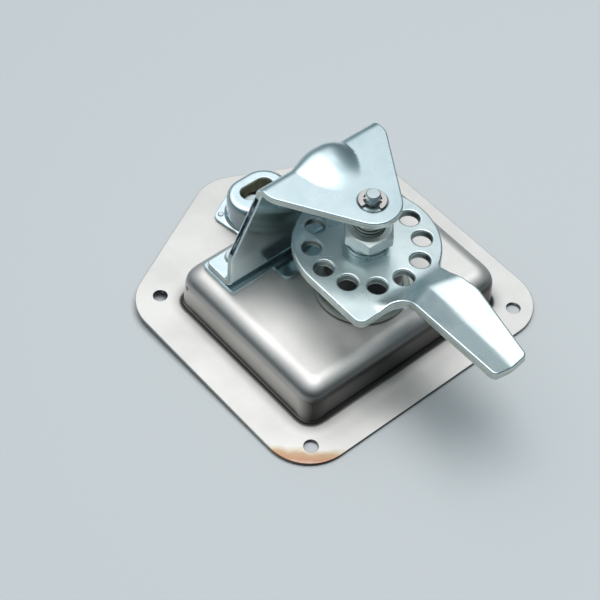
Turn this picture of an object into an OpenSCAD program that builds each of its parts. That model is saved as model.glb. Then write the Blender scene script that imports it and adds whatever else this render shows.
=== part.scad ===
// Folding T-handle latch for a door or box panel, with its back towards +Z.
// A pressed pan carries a hub and spindle, a cam plate with an arm on the spindle, a bracket that
// steadies the tail of the spindle, a key lock, and a T-handle that folds into the dish in front.
// Millimetres. Origin: centre of the four screw holes, on the back face of the pan flange.

/* [Pan flange] */
// Width of the flange
pan_w = 140; // [134:1:170]
// Hole centre to the straight lower edge
pan_front = 59.1; // [56:0.1:75]
// Hole centre to the eaves corners
pan_eaves = 54; // [50:0.5:62]
// Hole centre to the point where the roof edges would meet
pan_apex = 88.5; // [85:0.5:105]
// Corner radius of the flange
pan_corner_r = 20; // [8:1:24]
// Sheet thickness of the pan
sheet = 1.5; // [1:0.1:2]
// Screw hole spacing across the pan
hole_dx = 113.2; // [112:0.2:120]
// Screw hole spacing along the pan
hole_dy = 97.2; // [96:0.2:104]
// Radius of a screw hole
screw_hole_r = 3; // [2:0.1:3.5]

/* [Dish] */
// Outer width of the dish
dish_w = 105; // [100:0.5:107]
// Outer length of the dish
dish_l = 84.4; // [82:0.2:87]
// Height of the dish above the back of the flange
dish_h = 21; // [19.5:0.5:30]
// Radius of the dish's upright corners
dish_corner_r = 10; // [9:0.5:14]
// Radius of the dish's top edge
dish_top_r = 8; // [3:0.5:8.5]
// Radius where the dish meets the flange
dish_base_r = 2; // [1:0.5:2.5]

/* [Hub] */
// Distance of the spindle axis below the hole centre
shaft_drop = 12.7; // [11:0.1:13]
// Radius of the hub flange
hub_flange_r = 19.5; // [18.5:0.1:21]
// Thickness of the hub flange
hub_flange_t = 2.5; // [2:0.1:4]
// Height of the hub above the dish
hub_h = 23; // [18:0.5:26]
// Wall of the hub barrel round the bush
hub_wall = 4; // [2.5:0.1:5]
// Wall of the spigot that passes through the dish
spigot_wall = 1.8; // [1.5:0.1:3]
// Thickness of the gasket under the hub flange
gasket_t = 1; // [0.6:0.1:1.5]
// How far the gasket's rim lies inside that of the hub flange
gasket_inset = 0.4; // [0.2:0.1:0.8]
// Wall of the hub bush
bush_wall = 2; // [1.5:0.1:2.5]
// Height of the shaft seal
seal_h = 2.5; // [2:0.1:3]
// Thickness of the hub nut inside the dish
hub_nut_t = 3.2; // [2.5:0.1:4]
// Width across flats of the hub nut
hub_nut_af = 34; // [33:0.5:38]
// Thickness of the thrust washer under the cam
thrust_t = 1.5; // [1:0.1:2]

/* [Spindle] */
// Radius of the spindle in its bush
spindle_r = 9.95; // [9:0.05:10]
// Step of the spindle's collar inside the dish
spindle_step = 2; // [1.5:0.1:2.5]
// Thickness of the spindle's collar
spindle_collar_t = 2.5; // [2:0.1:3]
// Width of the square that drives the cam
drive_af = 11.9; // [11.5:0.1:12]
// Pitch radius of the thread
thread_r = 5.43; // [5:0.01:5.6]
// Length of thread that stands above the nut
thread_over = 8; // [5:0.5:9]
// Radius of the tail pin in the bracket
tail_r = 3; // [2.5:0.1:3.5]
// How far the tail pin stands above the bracket
tail_over = 4.5; // [3:0.1:6]

/* [Cam plate] */
// Radius of the cam disc
cam_r = 30; // [28:0.5:31]
// Thickness of the cam plate
cam_t = 4; // [3:0.1:5]
// Radius of the ring of rod holes
ring_r = 22.3; // [20:0.1:23]
// Radius of a rod hole
ring_hole_r = 4; // [3:0.1:4.5]
// Number of rod holes
ring_count = 12; // [8:1:13]
// Turn of the first rod hole from +X
ring_turn = 28.15; // [0:0.05:30]
// Spindle axis to the tip of the arm
arm_l = 81.3; // [75:0.1:95]
// Half width of the arm at its tip
arm_tip_half = 8.2; // [7:0.1:9]
// Spindle axis to the start of the joggle
joggle_start = 25.8; // [24:0.1:27]
// Rise of the joggle for each millimetre of run
joggle_slope = 0.34; // [0.25:0.01:0.45]
// Height of the arm's crease above the disc
crease_h = 2.6; // [2:0.1:4]
// Rise of the arm's two flanks away from the crease
flank_slope = 0.11; // [0.06:0.01:0.16]

/* [Collar and nut] */
// Radius of the collar on the cam
collar_r = 8.6; // [8.5:0.1:9.5]
// Height of the collar
collar_h = 4.9; // [3:0.1:6]
// Width across flats of the thin nut
nut_af = 19; // [18:0.1:20]
// Height of the thin nut
nut_h = 5.5; // [4.5:0.1:6.5]
// Outer radius of the E-clip
clip_r = 5.65; // [5:0.05:6]
// Thickness of the E-clip
clip_t = 0.7; // [0.5:0.1:1]

/* [Base plate] */
// Thickness of the base plate
base_t = 2; // [1.5:0.1:3]
// Half width of the base plate
base_half = 44.3; // [44:0.1:46]
// Half width of its tongue
tongue_half = 22.3; // [18:0.1:26]

/* [Bracket] */
// Sheet thickness of the bracket
bracket_t = 3.2; // [2.5:0.1:3.5]
// Height of the bracket from the base plate to its top face
bracket_h = 51; // [50:0.5:60]
// Half width across the feet
foot_half = 43.8; // [42:0.1:44]
// Length of the feet behind the wall's front face
foot_l = 16.3; // [15:0.1:17.5]
// Height of the wall's upright edges
wall_edge_h = 19; // [14:0.5:24]
// Half width of the top plate
plate_half = 30.4; // [27:0.2:33]
// Angle of the top plate's slanted edges
plate_flare = 32.5; // [29:0.5:36]
// Radius of the top plate's nose round the tail pin
nose_r = 12; // [10:0.5:13]
// Inner bend radius
bend_r = 2; // [1.5:0.1:2.5]
// Rivet shank radius
rivet_r = 3; // [2:0.1:3.2]
// Distance of the foot rivets from the middle
rivet_x = 33; // [30:0.5:35]

/* [Gusset dome] */
// Half length of the dome along the bend
dome_half = 18; // [15:0.5:20]
// Radius of the dome across the bend
dome_r = 14.2; // [13:0.1:15]
// Depth of the dome's axis below the top face
dome_drop = 8.7; // [8:0.1:9.5]

/* [Handle] */
// Width of the spindle blade inside the fork
blade_w = 8; // [7:0.1:9]
// Radius of the fork's ends
fork_r = 6.5; // [5.5:0.1:6.8]
// Thickness of one fork cheek
cheek_t = 4.6; // [3.5:0.1:5]
// Radius of the hinge pin
hinge_pin_r = 3; // [2.5:0.1:3.3]
// Thickness of a friction washer
hinge_washer_t = 0.8; // [0.5:0.1:1]
// Thickness of the shank
handle_t = 8; // [6:0.5:10]
// Hinge axis to the middle of the grip bar
reach = 37; // [34:0.5:38.5]
// Half length of the grip bar
grip_half = 24; // [21:0.5:25]
// Radius of the grip bar
grip_r = 5.5; // [5:0.1:6]

/* [Lock] */
// Lock axis across the pan
lock_x = 2; // [0:0.5:4]
// Gap between the foot of the dish and the housing's flange
lock_gap = 2.5; // [0.5:0.1:5]
// Half width of the housing's flange at its eaves
lock_flange_half = 17.5; // [16.5:0.1:20]
// Half width of the front edge of the flange
lock_front_half = 14; // [13.5:0.1:17]
// Lock axis to the front edge of the flange
lock_flange_front = 12.3; // [12:0.1:14]
// Lock axis to the eaves of the flange
lock_flange_eaves = 9.6; // [8.5:0.1:11]
// Lock axis to the back edge of the flange
lock_flange_back = 15.4; // [14.5:0.1:17]
// Half width of the back edge of the flange
lock_flange_top = 5.8; // [5:0.1:8]
// Distance of a back rivet from the flange's eaves
lock_rivet_inset = 3.7; // [2.5:0.1:4]
// Distance of a front rivet from the flange's front corner
lock_rivet_corner = 2.4; // [2:0.1:3]
// Radius of a flange rivet
lock_rivet_r = 1; // [0.8:0.1:1.2]
// Outer end radius of the housing
cup_r = 11.4; // [11:0.1:11.8]
// Distance between the housing's two end centres
cup_run = 6.4; // [5:0.1:8]
// Height of the housing
cup_h = 15.2; // [13.6:0.1:18]
// Wall of the housing
cup_wall = 1.4; // [1:0.1:1.5]
// Rounding of the housing's top edge
cup_edge_r = 2.2; // [1.6:0.1:3]
// Thickness of the housing's flange
lock_flange_t = 1.6; // [1:0.1:2]
// End radius of the window
window_r = 4.1; // [3:0.1:4.5]
// Distance between the window's two end centres
window_run = 8.2; // [6:0.1:8.5]
// Radius of the lock barrel
barrel_r = 6.5; // [6:0.1:7]
// Length of the barrel behind the flange
barrel_l = 7; // [6.5:0.1:7.5]
// Radius of the bezel in front
bezel_r = 9.5; // [8.5:0.1:11]
// Thickness of the bezel
bezel_t = 3; // [2:0.1:4]
// Radius of the key plug
plug_r = 4; // [3.5:0.1:4.5]
// Width across flats of the lock nut
lock_nut_af = 16; // [15.6:0.1:16.8]
// Thickness of the lock nut
lock_nut_t = 4; // [3:0.1:5]
// Lock axis to the end of the tail
tail_l = 9; // [7:0.1:9.4]

/* [Clearances] */
// Axial gap between faces that turn on each other
run_gap = 0.1; // [0.06:0.02:0.2]
// Radial clearance of a turning fit
run_clear = 0.05; // [0.02:0.01:0.09]
// Radial clearance of a fixed fit
fit_clear = 0.02; // [0.01:0.01:0.05]
// Clearance of a hole that a fastener passes through
pass_clear = 0.1; // [0.05:0.05:0.3]

/* [Hidden] */
$fn = 96;
past = 1;
far = 200;

shaft_y = -shaft_drop;
bush_r = spindle_r + run_clear;
bush_out_r = bush_r + bush_wall;
hub_bore_r = bush_out_r + fit_clear;
spigot_r = hub_bore_r + spigot_wall;
barrel_out_r = hub_bore_r + hub_wall;
gasket_r = hub_flange_r - gasket_inset;

dish_under = dish_h - sheet;
spigot_z = dish_under - hub_nut_t - 0.5;
spindle_collar_z = spigot_z - run_gap - spindle_collar_t;
fork_gap = 0.7;
hinge_z = spindle_collar_z - fork_r - fork_gap;
hub_top = dish_h + hub_h;
cam_z = hub_top + thrust_t + run_gap;
cam_top = cam_z + cam_t;
nut_z = cam_top + collar_h;
nut_top = nut_z + nut_h;
thread_top = nut_top + thread_over;

base_top = dish_h + base_t;
bracket_top = base_top + bracket_h;
plate_under = bracket_top - bracket_t;
wall_gap = 0.7;
wall_y = shaft_y + cam_r + wall_gap;
wall_back = wall_y + bracket_t;
bend_out_r = bend_r + bracket_t;
foot_y = wall_y + foot_l;
rivet_y = foot_y - 5.5;
base_front = wall_y - 1.2;
base_back = foot_y + 1.9;
tongue_y = shaft_y + hub_flange_r + 1.9;
dome_y = wall_back - dome_drop;
dome_z = bracket_top - dome_drop;

clip_z = bracket_top + 0.4;
clip_bore_r = tail_r - 0.5;
clip_mouth = -137;
tail_top = bracket_top + tail_over;

slot_half = blade_w / 2 + run_gap + hinge_washer_t;
fork_half = slot_half + cheek_t;

cup_in_r = cup_r - cup_wall;
lock_y = dish_l / 2 + dish_base_r + lock_gap + lock_flange_front;
lock_mid_x = lock_x + cup_run / 2;
tail_z = barrel_l + 0.5;
tail_t = 1.5;
plug_square = 4.6;

// Shapes that repeat

function unit(v) = v / norm(v);
function half_turn(a) = a - 360 * round(a / 360);
function flat(p) = [p[0], p[1]];

// Points of the arc of radius r that rounds corner p between its neighbours a and b
function corner(a, p, b, r, steps = 10) =
    let (u = unit(flat(a) - flat(p)), v = unit(flat(b) - flat(p)), half = acos(u * v) / 2,
        mid = flat(p) + unit(u + v) * r / sin(half), reach_in = r / tan(half),
        from = flat(p) + u * reach_in - mid, to = flat(p) + v * reach_in - mid,
        start = atan2(from[1], from[0]), sweep = half_turn(atan2(to[1], to[0]) - start))
    r == 0 ? [flat(p)] :
    [for (i = [0 : steps]) mid + r * [cos(start + sweep * i / steps), sin(start + sweep * i / steps)]];

// Outline through points [x, y, corner radius]
function outline(points) = let (n = len(points))
    [for (i = [0 : n - 1])
        each corner(points[(i + n - 1) % n], points[i], points[(i + 1) % n], points[i][2])];

function mirrored(points) = concat(points,
    [for (i = [len(points) - 1 : -1 : 0]) [-points[i][0], points[i][1], points[i][2]]]);

module ring(inner, outer, h) {
    difference() {
        cylinder(h = h, r = outer);
        translate([0, 0, -past]) cylinder(h = h + 2 * past, r = inner);
    }
}

module rounded_rect(w, l, r) {
    square([w - 2 * r, l], center = true);
    square([w, l - 2 * r], center = true);
    for (x = [-1, 1], y = [-1, 1]) translate([x * (w / 2 - r), y * (l / 2 - r)]) circle(r);
}

module oblong(run, r) {
    translate([-run / 2, -r]) square([run, 2 * r]);
    for (x = [-1, 1]) translate([x * run / 2, 0]) circle(r);
}

// Quarter of a ring in the first quadrant
module quarter_ring(outer, inner) {
    intersection() {
        difference() {
            circle(outer);
            circle(inner);
        }
        square(outer);
    }
}

module hexagon(af, h) {
    cylinder(h = h, r = af / sqrt(3), $fn = 6);
}

module at_screw_holes() {
    for (x = [-1, 1], y = [-1, 1]) translate([x * hole_dx / 2, y * hole_dy / 2]) children();
}

module at_foot_rivets() {
    for (x = [-1, 1]) translate([x * rivet_x, rivet_y]) children();
}

module at_lock_rivets() {
    for (x = [-1, 1]) {
        translate([lock_mid_x + x * (lock_flange_half - lock_rivet_inset), lock_y + lock_flange_eaves - 1])
            children();
        translate([lock_mid_x + x * (lock_front_half - lock_rivet_corner),
            lock_y - lock_flange_front + lock_rivet_corner]) children();
    }
}

module at_lock() {
    translate([lock_x, lock_y, 0]) children();
}

module at_shaft() {
    translate([0, shaft_y, 0]) children();
}

// Pan

pan_half = mirrored([[-pan_w / 2, -pan_front, pan_corner_r], [-pan_w / 2, pan_eaves, pan_corner_r]]);
pan_points = concat([pan_half[0], pan_half[1]], [[0, pan_apex, pan_corner_r]], [pan_half[2], pan_half[3]]);

// Section of the dish wall, measured outwards from the centre of an upright corner
module dish_section() {
    translate([dish_corner_r - sheet, dish_base_r]) square([sheet, dish_h - dish_top_r - dish_base_r]);
    translate([dish_corner_r - dish_top_r, dish_h - dish_top_r])
        quarter_ring(dish_top_r, dish_top_r - sheet);
    translate([dish_corner_r + dish_base_r, dish_base_r]) rotate(180)
        quarter_ring(dish_base_r + sheet, dish_base_r);
}

module dish() {
    for (k = [0 : 3]) {
        across = k % 2 == 0 ? dish_w : dish_l;
        along = k % 2 == 0 ? dish_l : dish_w;
        rotate(90 * k) translate([across / 2 - dish_corner_r, 0, 0]) rotate([90, 0, 0])
            linear_extrude(along - 2 * dish_corner_r, center = true) dish_section();
        rotate(90 * k) translate([across / 2 - dish_corner_r, along / 2 - dish_corner_r, 0])
            rotate_extrude(angle = 90) dish_section();
    }
    translate([0, 0, dish_under]) linear_extrude(sheet)
        rounded_rect(dish_w - 2 * dish_top_r, dish_l - 2 * dish_top_r, dish_corner_r - dish_top_r);
}

module mounting_pan() {
    color("silver") difference() {
        union() {
            translate([0, 0, -sheet]) linear_extrude(sheet) difference() {
                polygon(outline(pan_points));
                rounded_rect(dish_w + 2 * dish_base_r, dish_l + 2 * dish_base_r,
                    dish_corner_r + dish_base_r);
            }
            dish();
        }
        translate([0, 0, -sheet - past]) linear_extrude(sheet + 2 * past) {
            at_screw_holes() circle(screw_hole_r);
            translate([lock_x, lock_y]) circle(barrel_r + pass_clear);
            at_lock_rivets() circle(lock_rivet_r + pass_clear);
        }
        translate([0, 0, dish_under - past]) linear_extrude(sheet + 2 * past) {
            translate([0, shaft_y]) circle(spigot_r + pass_clear);
            at_foot_rivets() circle(rivet_r + pass_clear);
        }
    }
}

// Base plate and bracket

base_points = mirrored([[-tongue_half, tongue_y, 3], [-tongue_half, base_front, 1],
    [-base_half, base_front, 1], [-base_half, base_back, 2]]);

module base_plate() {
    color("gainsboro") translate([0, 0, dish_h]) linear_extrude(base_t) difference() {
        polygon(outline(base_points));
        at_foot_rivets() circle(rivet_r + pass_clear);
    }
}

// Section of the bent strip: foot, lower bend, wall and upper bend, as [y, z]
module strip_section() {
    translate([wall_y + bend_out_r, base_top]) square([foot_l - bend_out_r, bracket_t]);
    translate([wall_y + bend_out_r, base_top + bend_out_r]) rotate(180) quarter_ring(bend_out_r, bend_r);
    translate([wall_y, base_top + bend_out_r]) square([bracket_t, bracket_h - 2 * bend_out_r]);
    translate([wall_y - bend_r, bracket_top - bend_out_r]) quarter_ring(bend_out_r, bend_r);
}

wall_points = mirrored([[-foot_half, base_top - past, 0], [-foot_half, base_top + wall_edge_h, 3],
    [-plate_half, bracket_top - bend_out_r, 6], [-plate_half, bracket_top + past, 0]]);

module bent_strip() {
    intersection() {
        rotate([90, 0, 90]) linear_extrude(2 * foot_half + 2 * past, center = true) strip_section();
        translate([0, foot_y + past, 0]) rotate([90, 0, 0])
            linear_extrude(foot_y + past - wall_y + bend_out_r) polygon(outline(wall_points));
    }
}

nose_tip_y = shaft_y - nose_r / sin(plate_flare);
shoulder_y = nose_tip_y + plate_half / tan(plate_flare);
plate_start = wall_y - bend_r;

module top_plate() {
    translate([0, 0, plate_under]) linear_extrude(bracket_t) intersection() {
        polygon(outline([[-plate_half, plate_start + far, 0], [-plate_half, shoulder_y, 9],
            [0, nose_tip_y, nose_r], [plate_half, shoulder_y, 9], [plate_half, plate_start + far, 0]]));
        translate([-plate_half - past, plate_start - far]) square([2 * plate_half + 2 * past, far]);
    }
}

// Rise of the dome along the bend, from 1 in the middle to 0 at its ends
function bell(t) = (1 + cos(180 * t)) / 2;
dome_base_r = dome_drop - 0.3;
dome_steps = 12;

// Bell-shaped solid of revolution along the bend, sunk by one sheet for the hollow
module dome(sink) {
    translate([0, dome_y, dome_z]) rotate([0, 90, 0]) rotate_extrude() polygon(concat(
        [[0, -dome_half]],
        [for (i = [-dome_steps : dome_steps]) let (t = i / dome_steps)
            [dome_base_r - sink + (dome_r - dome_base_r) * bell(t), dome_half * t]],
        [[0, dome_half]]));
}

module support_bracket() {
    color("lightsteelblue") difference() {
        union() {
            bent_strip();
            top_plate();
            difference() {
                dome(0);
                translate([-dome_half - past, wall_y - far, plate_under - far])
                    cube([2 * dome_half + 2 * past, far, far]);
            }
        }
        dome(bracket_t);
        translate([0, shaft_y, plate_under - past])
            cylinder(h = bracket_t + 2 * past, r = tail_r + run_clear);
        translate([0, 0, base_top - past]) linear_extrude(bracket_t + 2 * past)
            at_foot_rivets() circle(rivet_r + pass_clear);
    }
}

module bracket_rivets() {
    head_r = rivet_r + 1.5;
    head_t = 1.4;
    color("gainsboro") at_foot_rivets() difference() {
        union() {
            translate([0, 0, dish_under - head_t]) cylinder(h = head_t, r = head_r);
            translate([0, 0, dish_under]) cylinder(h = base_top + bracket_t - dish_under, r = rivet_r);
            translate([0, 0, base_top + bracket_t]) cylinder(h = head_t, r1 = head_r, r2 = head_r - 0.8);
        }
        translate([0, 0, base_top]) cylinder(h = bracket_t + head_t + past, r = rivet_r - 1.2);
    }
}

// Hub

module hub_housing() {
    flange_z = dish_h + gasket_t;
    color("lightgray") at_shaft() rotate_extrude() polygon(concat(
        [[hub_bore_r, spigot_z], [spigot_r, spigot_z], [spigot_r, flange_z],
            [hub_flange_r, flange_z], [hub_flange_r, flange_z + hub_flange_t - 0.5],
            [hub_flange_r - 0.5, flange_z + hub_flange_t]],
        corner([hub_flange_r, flange_z + hub_flange_t], [barrel_out_r, flange_z + hub_flange_t],
            [barrel_out_r, hub_top], 1.2),
        [[barrel_out_r, hub_top - 0.8], [barrel_out_r - 0.8, hub_top], [hub_bore_r, hub_top]]));
}

module hub_gasket() {
    color("dimgray") translate([0, shaft_y, dish_h]) ring(spigot_r + pass_clear, gasket_r, gasket_t);
}

module shaft_seal() {
    color("dimgray") translate([0, shaft_y, spigot_z + 0.3]) ring(bush_r, bush_out_r, seal_h);
}

module hub_bush() {
    bush_z = spigot_z + 0.3 + seal_h;
    color("peru") translate([0, shaft_y, bush_z]) ring(bush_r, bush_out_r, hub_top - bush_z);
}

module hub_nut() {
    color("lightgray") translate([0, shaft_y, dish_under - hub_nut_t]) difference() {
        hexagon(hub_nut_af, hub_nut_t);
        translate([0, 0, -past]) cylinder(h = hub_nut_t + 2 * past, r = spigot_r + fit_clear);
    }
}

module thrust_washer() {
    color("darkgray") translate([0, shaft_y, hub_top])
        ring(spindle_r + pass_clear, barrel_out_r - 0.8, thrust_t);
}

// Spindle, cam and what turns with them

module spindle() {
    groove_h = clip_t + 0.1;
    color("lightgray") at_shaft() difference() {
        union() {
            translate([0, 0, hinge_z]) rotate([0, 90, 0]) cylinder(h = blade_w, r = fork_r, center = true);
            translate([-blade_w / 2, -fork_r, hinge_z])
                cube([blade_w, 2 * fork_r, spindle_collar_z - hinge_z]);
            translate([0, 0, spindle_collar_z])
                cylinder(h = spindle_collar_t, r = spindle_r + spindle_step);
            translate([0, 0, spindle_collar_z]) cylinder(h = cam_z - spindle_collar_z, r = spindle_r);
            translate([-drive_af / 2, -drive_af / 2, cam_z]) cube([drive_af, drive_af, cam_t]);
            translate([0, 0, cam_top]) cylinder(h = thread_top - cam_top - 0.8, r = thread_r);
            translate([0, 0, thread_top - 0.8]) cylinder(h = 0.8, r1 = thread_r, r2 = thread_r - 0.8);
            translate([0, 0, thread_top]) cylinder(h = clip_z - thread_top, r = tail_r);
            translate([0, 0, clip_z]) cylinder(h = groove_h, r = clip_bore_r);
            translate([0, 0, clip_z + groove_h])
                cylinder(h = tail_top - clip_z - groove_h - 0.5, r = tail_r);
            translate([0, 0, tail_top - 0.5]) cylinder(h = 0.5, r1 = tail_r, r2 = tail_r - 0.5);
        }
        translate([0, 0, hinge_z]) rotate([0, 90, 0])
            cylinder(h = blade_w + 2 * past, r = hinge_pin_r + run_clear, center = true);
    }
}

// Plan of the cam plate about the spindle axis: disc, square corner and arm
arm_left = 9.3;
arm_right = 15.9;
cam_points = [[-cam_r, 0, 0], [-cam_r, -cam_r + 0.4, 4], [-arm_left, -cam_r + 0.4, 6],
    [-arm_tip_half, 1 - arm_l, 2.5], [0, -arm_l, 0], [arm_tip_half, 0.6 - arm_l, 2.5],
    [arm_right, -cam_r - 16, 14], [arm_right - 1.6, -cam_r - 2, 0], [arm_right - 1.6, 0, 0]];

// Space between a level floor and the pressed surface of the arm: joggle ramp, side ramp and flanks
module pressed_rise() {
    tall = 12;
    wide = cam_r + past;
    side_x = -19;
    intersection() {
        rotate([90, 0, 90]) linear_extrude(2 * wide, center = true)
            polygon([[-joggle_start, 0], [-joggle_start - tall / joggle_slope, tall],
                [-arm_l - 20, tall], [-arm_l - 20, 0]]);
        rotate([90, 0, 0]) linear_extrude(arm_l + 20)
            polygon([[side_x, 0], [side_x + 24, tall], [wide, tall], [wide, 0]]);
        translate([2.5, -cam_r, 0]) rotate(-2.9) rotate([90, 0, 0]) linear_extrude(2 * arm_l, center = true)
            polygon([[-2 * wide, 0], [-2 * wide, crease_h + 2 * wide * flank_slope], [0, crease_h],
                [2 * wide, crease_h + 2 * wide * flank_slope], [2 * wide, 0]]);
    }
}

module cam_plate() {
    color("aliceblue") at_shaft() difference() {
        intersection() {
            translate([0, 0, cam_z]) linear_extrude(cam_t + 12) {
                circle(cam_r);
                polygon(outline(cam_points));
            }
            union() {
                translate([-cam_r - past, -arm_l - past, cam_z])
                    cube([2 * cam_r + 2 * past, arm_l + cam_r + 2 * past, cam_t]);
                translate([0, 0, cam_top]) pressed_rise();
            }
        }
        translate([0, 0, cam_z]) pressed_rise();
        translate([0, 0, cam_z - past]) linear_extrude(cam_t + 2 * past + 4) {
            square(drive_af + 2 * fit_clear, center = true);
            for (k = [0 : ring_count - 1]) rotate(ring_turn + 360 * k / ring_count)
                translate([ring_r, 0]) circle(ring_hole_r);
        }
    }
}

module drive_collar() {
    color("lightgray") translate([0, shaft_y, cam_top]) ring(thread_r + fit_clear, collar_r, collar_h);
}

module cam_nut() {
    corner_r = nut_af / sqrt(3);
    chamfer = corner_r - nut_af / 2 + 0.3;
    color("lightgray") translate([0, shaft_y, nut_z]) difference() {
        intersection() {
            rotate(-131) hexagon(nut_af, nut_h);
            rotate_extrude() polygon([[0, 0], [corner_r - chamfer, 0], [corner_r + 0.1, chamfer * 0.6],
                [corner_r + 0.1, nut_h - chamfer * 0.6], [corner_r - chamfer, nut_h], [0, nut_h]]);
        }
        translate([0, 0, -past]) cylinder(h = nut_h + 2 * past, r = thread_r + fit_clear);
    }
}

module retaining_clip() {
    web = 2;
    prong = 1.7;
    color("whitesmoke") translate([0, shaft_y, clip_z]) rotate(clip_mouth)
        linear_extrude(clip_t) difference() {
        union() {
            difference() {
                circle(clip_r);
                circle(clip_r - web);
                translate([0, -clip_bore_r]) square([clip_r + past, 2 * clip_bore_r]);
            }
            for (a = [95, 180, 265]) rotate(a) translate([0, -prong / 2]) square([clip_r - web / 2, prong]);
        }
        circle(clip_bore_r + fit_clear);
    }
}

// Handle that folds towards +Y into the dish

grip_end = grip_half - grip_r;
shank_points = mirrored([[-fork_half, -fork_r - past, 0], [-fork_half, fork_r + 3, 3],
    [-fork_half + 3.4, fork_r + 9, 5], [-fork_half + 3.4, reach - 9, 6], [-fork_half - 3, reach, 0]]);

module at_hinge() {
    translate([0, shaft_y, hinge_z]) children();
}

module t_handle() {
    color("silver") at_hinge() difference() {
        union() {
            intersection() {
                rotate([90, 0, 90]) linear_extrude(4 * fork_half, center = true) {
                    circle(fork_r);
                    translate([0, -handle_t / 2]) square([reach, handle_t]);
                }
                translate([0, 0, -fork_r - past]) linear_extrude(2 * fork_r + 2 * past)
                    polygon(outline(shank_points));
            }
            translate([0, reach, 0]) rotate([0, 90, 0])
                cylinder(h = 2 * grip_end, r = grip_r, center = true);
            for (x = [-1, 1]) translate([x * grip_end, reach, 0]) sphere(grip_r);
        }
        translate([-slot_half, -fork_r - past, -fork_r - past])
            cube([2 * slot_half, 2 * fork_r + 2 + past, 2 * fork_r + 2 * past]);
        rotate([0, 90, 0])
            cylinder(h = 2 * fork_half + 2 * past, r = hinge_pin_r + fit_clear, center = true);
    }
}

module hinge_pin() {
    color("gainsboro") at_hinge() rotate([0, 90, 0])
        cylinder(h = 2 * fork_half, r = hinge_pin_r, center = true);
}

module hinge_washers() {
    color("gray") at_hinge() for (x = [0, 180]) rotate([0, 0, x])
        translate([slot_half - hinge_washer_t, 0, 0]) rotate([0, 90, 0])
            ring(hinge_pin_r + fit_clear, fork_r - 0.8, hinge_washer_t);
}

// Lock

// Section of the housing wall, measured outwards from an end centre
module cup_section() {
    translate([cup_in_r, 0]) square([cup_wall, cup_h - cup_edge_r]);
    translate([cup_r - cup_edge_r, cup_h - cup_edge_r]) quarter_ring(cup_edge_r, cup_edge_r - cup_wall);
}

module cup_shell() {
    for (k = [0, 180]) rotate(k) {
        translate([cup_run / 2, 0, 0]) rotate(-90) rotate_extrude(angle = 180) cup_section();
        rotate([90, 0, 90]) linear_extrude(cup_run, center = true) cup_section();
    }
    translate([0, 0, cup_h - cup_wall]) linear_extrude(cup_wall) oblong(cup_run, cup_r - cup_edge_r);
}

lock_flange_points = mirrored([[-lock_front_half, -lock_flange_front, 4],
    [-lock_flange_half, lock_flange_eaves, 4], [-lock_flange_top, lock_flange_back, 4]]);

module lock_housing() {
    color("lightsteelblue") translate([lock_mid_x, lock_y, 0]) difference() {
        union() {
            cup_shell();
            linear_extrude(lock_flange_t) difference() {
                polygon(outline(lock_flange_points));
                oblong(cup_run, cup_r - cup_wall / 2);
            }
        }
        translate([0, 1.4, cup_h - cup_wall - past]) linear_extrude(cup_wall + 2 * past)
            oblong(window_run, window_r);
        translate([-lock_mid_x, -lock_y, -past]) linear_extrude(lock_flange_t + 2 * past)
            at_lock_rivets() circle(lock_rivet_r + pass_clear);
    }
}

module lock_rivets() {
    color("gray") at_lock_rivets() {
        translate([0, 0, -sheet]) cylinder(h = sheet + lock_flange_t, r = lock_rivet_r);
        translate([0, 0, lock_flange_t])
            cylinder(h = 0.4, r1 = lock_rivet_r + 0.5, r2 = lock_rivet_r + 0.1);
    }
}

module lock_barrel() {
    front_z = -sheet - bezel_t;
    color("lightgray") at_lock() difference() {
        rotate_extrude() polygon([[0, front_z], [bezel_r - 1, front_z], [bezel_r, front_z + 1],
            [bezel_r, -sheet], [barrel_r, -sheet], [barrel_r, barrel_l], [0, barrel_l]]);
        translate([0, 0, front_z - past])
            cylinder(h = bezel_t + sheet + barrel_l + 2 * past, r = plug_r + run_clear);
    }
}

module lock_nut() {
    color("lightgray") at_lock() difference() {
        hexagon(lock_nut_af, lock_nut_t);
        translate([0, 0, -past]) cylinder(h = lock_nut_t + 2 * past, r = barrel_r + fit_clear);
    }
}

module lock_plug() {
    front_z = -sheet - bezel_t + 0.3;
    color("silver") at_lock() difference() {
        union() {
            translate([0, 0, front_z]) cylinder(h = tail_z - front_z, r = plug_r);
            translate([-plug_square / 2, -plug_square / 2, tail_z])
                cube([plug_square, plug_square, tail_t]);
        }
        translate([-0.9, -2.8, front_z - past]) cube([1.8, 5.6, 7]);
    }
}

module lock_tail() {
    tail_half = plug_r;
    color("gainsboro") translate([lock_x, lock_y, tail_z]) linear_extrude(tail_t) difference() {
        union() {
            circle(plug_r + 1);
            polygon(outline([[0, -tail_half, 0], [tail_l, -tail_half + 1, 1.5],
                [tail_l, tail_half - 1, 1.5], [0, tail_half, 0]]));
        }
        square(plug_square + 2 * fit_clear, center = true);
    }
}

module tail_screw() {
    color("silver") translate([lock_x, lock_y, tail_z + tail_t]) difference() {
        cylinder(h = 1.6, r = plug_r - 0.4);
        translate([-plug_r, -0.5, 0.8]) cube([2 * plug_r, 1, 1]);
    }
}

mounting_pan();
base_plate();
support_bracket();
bracket_rivets();
hub_housing();
hub_gasket();
hub_bush();
shaft_seal();
hub_nut();
thrust_washer();
spindle();
cam_plate();
drive_collar();
cam_nut();
retaining_clip();
t_handle();
hinge_pin();
hinge_washers();
lock_housing();
lock_rivets();
lock_barrel();
lock_nut();
lock_plug();
lock_tail();
tail_screw();
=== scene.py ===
"""Folding T-handle latch, lying on its front so that the back is seen, in a plain studio."""
import math

import bpy
import numpy as np
from mathutils import Matrix, Vector, geometry


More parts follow.
